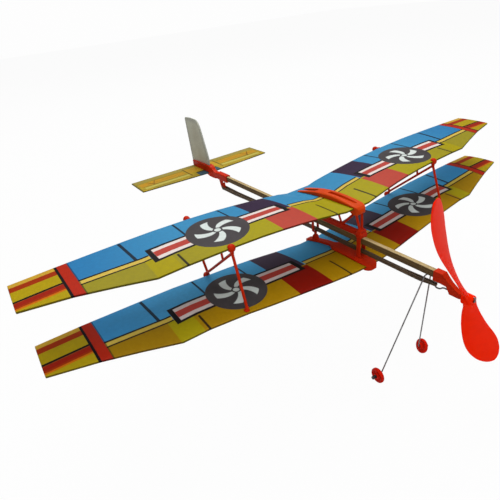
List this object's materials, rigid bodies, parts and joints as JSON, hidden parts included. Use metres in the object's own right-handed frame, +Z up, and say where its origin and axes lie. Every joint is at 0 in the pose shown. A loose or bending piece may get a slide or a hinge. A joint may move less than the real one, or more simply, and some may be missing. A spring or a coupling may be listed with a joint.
{
  "type": "rubber powered model biplane",
  "caption": "Toy biplane driven by a rubber band: printed foam wings and tail on a wood stick, plastic propeller, braces and clips, wire undercarriage with small wheels.",
  "frame": {"origin": "centre of the motor stick's top face, 100 mm ahead of the stick's rear end, where the bare stick is held", "axes": "+X forward to the propeller, +Y to port along the span, +Z up"},
  "size_m": [0.3431, 0.43, 0.1636],
  "materials": {
    "wing_foam": "printed foam sheet, blue, yellow, red and dark purple panels with black lines",
    "tail_foam": "printed foam sheet, golden yellow with fine lines",
    "fin_foam": "plain grey foam sheet",
    "red_plastic": "moulded red-orange plastic, slight sheen",
    "balsa_wood": "bare light wood, straight grain",
    "rubber_strip": "dark brown rubber strands",
    "steel_wire": "drawn steel wire",
    "black_cap": "black end cap"
  },
  "bodies": {
    "airframe": {"motor_stick": "balsa_wood", "nose_bearing": "red_plastic", "rubber_motor": "rubber_strip", "tail_clip": "red_plastic", "tail_seat": "red_plastic", "stabilizer": "tail_foam", "fin": "fin_foam", "gear_wire": "steel_wire", "wheel_cap_starboard": "black_cap", "wheel_cap_port": "black_cap"},
    "prop": {"prop_shaft": "steel_wire", "propeller": "red_plastic"},
    "wing_cell": {"upper_wing": "wing_foam", "lower_wing": "wing_foam", "upper_saddle": "red_plastic", "lower_saddle": "red_plastic", "cabane_frame": "red_plastic", "clip_front": "red_plastic", "clip_rear": "red_plastic", "strut_starboard": "red_plastic", "strut_port": "red_plastic"},
    "wheel_s": {"wheel_starboard": "red_plastic"},
    "wheel_p": {"wheel_port": "red_plastic"}
  },
  "joints": [
    {"name": "prop_spin", "type": "hinge", "parent": "airframe", "child": "prop", "pos_m": [0.165, 0, -0.0098], "axis": [1, 0, 0], "continuous": true, "deforming": ["rubber_motor"]},
    {"name": "wheel_spin_starboard", "type": "hinge", "parent": "airframe", "child": "wheel_s", "pos_m": [0.133, -0.0244, -0.088], "axis": [0.118, 0.9926, -0.027], "continuous": true},
    {"name": "wheel_spin_port", "type": "hinge", "parent": "airframe", "child": "wheel_p", "pos_m": [0.1339, 0.0244, -0.0892], "axis": [0.319, 0.9097, -0.266], "continuous": true},
    {"name": "wing_trim_slide", "type": "slide", "parent": "airframe", "child": "wing_cell", "axis": [1, 0, 0], "range_m": [-0.015, 0.015]}
  ]
}
